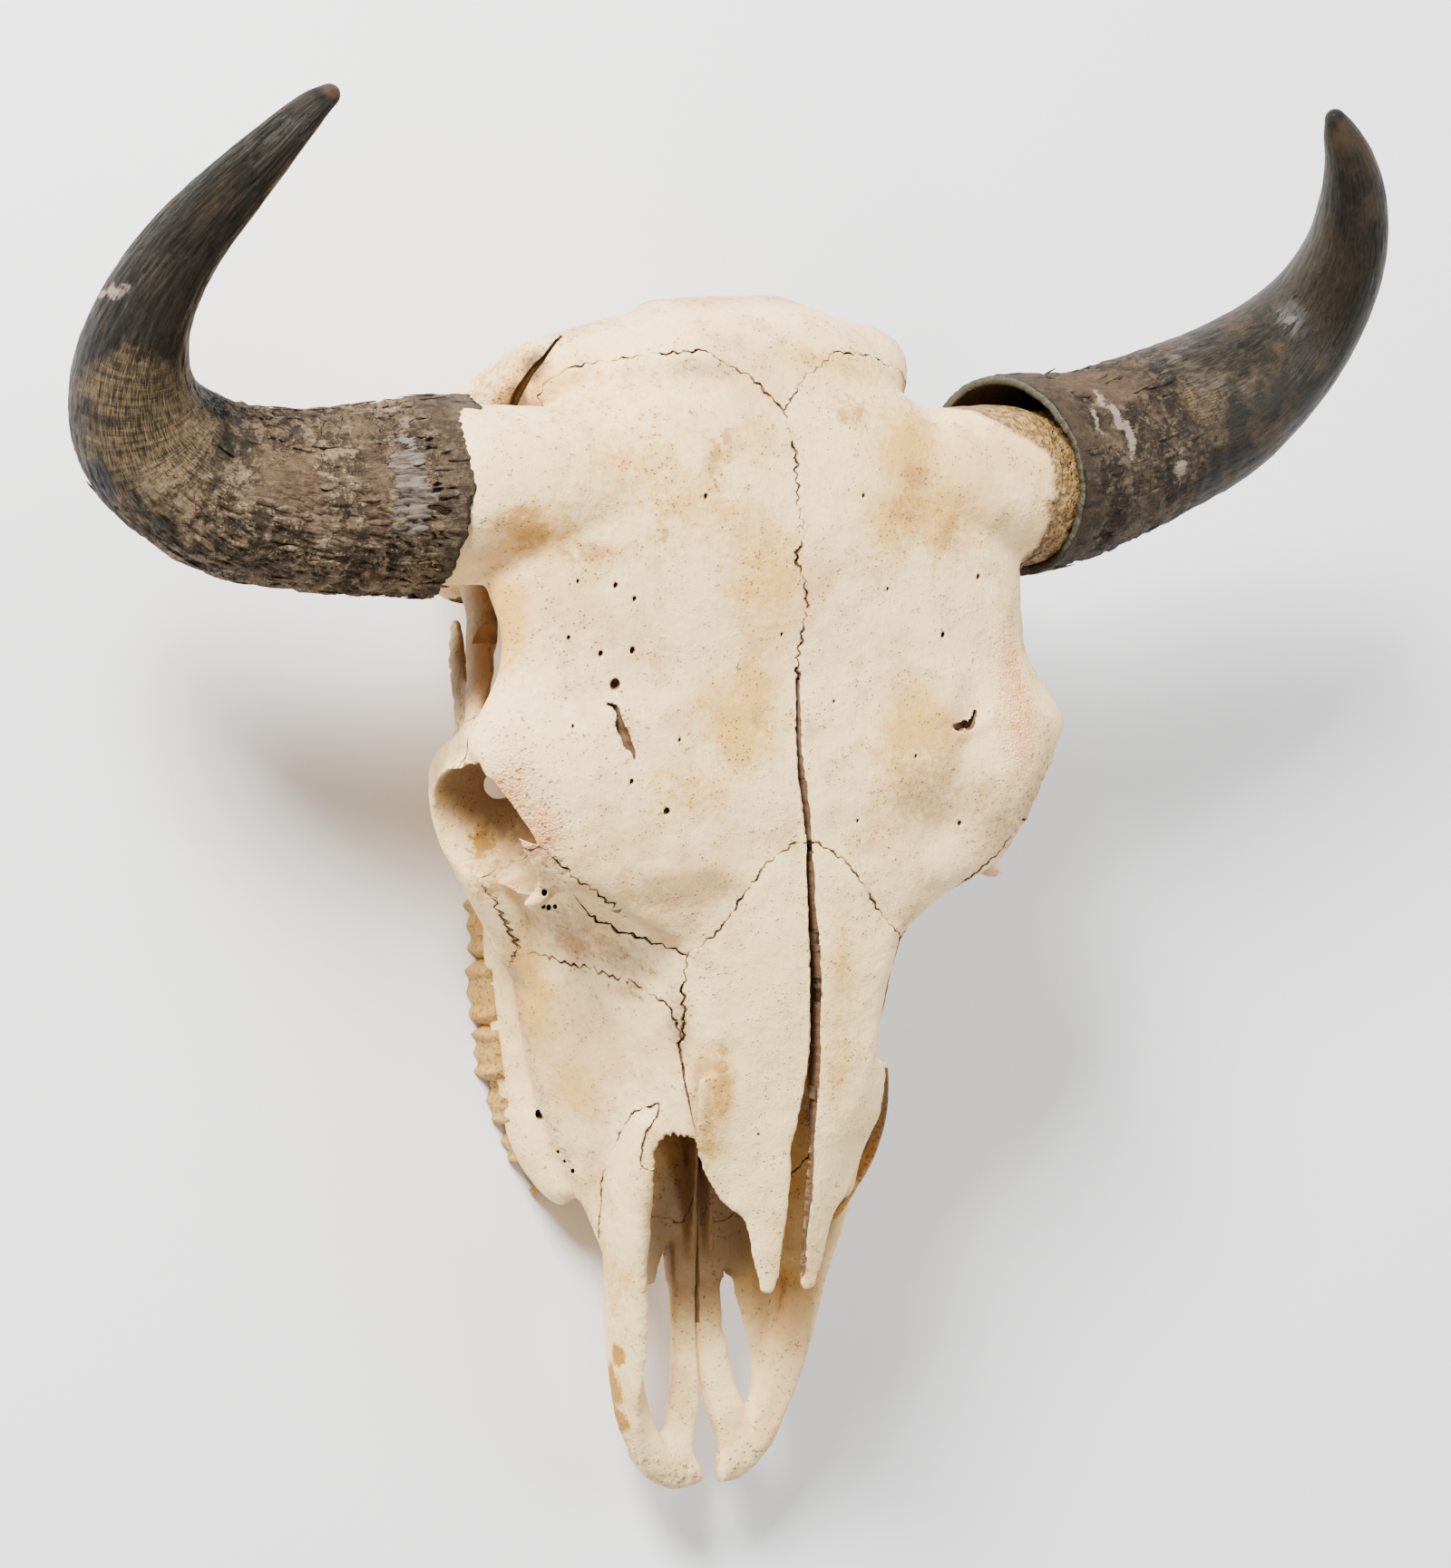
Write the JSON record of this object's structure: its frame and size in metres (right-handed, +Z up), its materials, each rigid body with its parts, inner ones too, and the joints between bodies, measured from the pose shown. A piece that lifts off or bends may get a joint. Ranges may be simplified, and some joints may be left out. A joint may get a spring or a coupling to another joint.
{
  "type": "bison bull skull with horn sheaths, without the lower jaw",
  "caption": "Weathered bison bull skull with dark curved horn sheaths, one slipped out along its horn core.",
  "frame": {"origin": "centre of the object's bounding box on the floor it rests on", "axes": "+X to the animal's left across the horns, +Y from the nose to the poll, +Z up from the floor"},
  "size_m": [0.6578, 0.609, 0.2655],
  "materials": {
    "bone": "dry matt bone, cream with tan stains",
    "face_bone": "dry matt bone, slightly darker",
    "muzzle_bone": "dry smooth bone, pale cream",
    "horn": "dark keratin, satin at the curve and flaky at the base"
  },
  "bodies": {
    "root": {"cranium": "bone", "frontal_right": "bone", "frontal_left": "bone", "lacrimal_right": "face_bone", "lacrimal_left": "face_bone", "zygomatic_right": "face_bone", "zygomatic_left": "face_bone", "maxilla_right": "face_bone", "maxilla_left": "face_bone", "nasal_right": "muzzle_bone", "nasal_left": "muzzle_bone", "premaxilla_right": "muzzle_bone", "premaxilla_left": "muzzle_bone", "horn_sheath_right": "horn", "horn_sheath_left": "horn"}
  },
  "joints": []
}
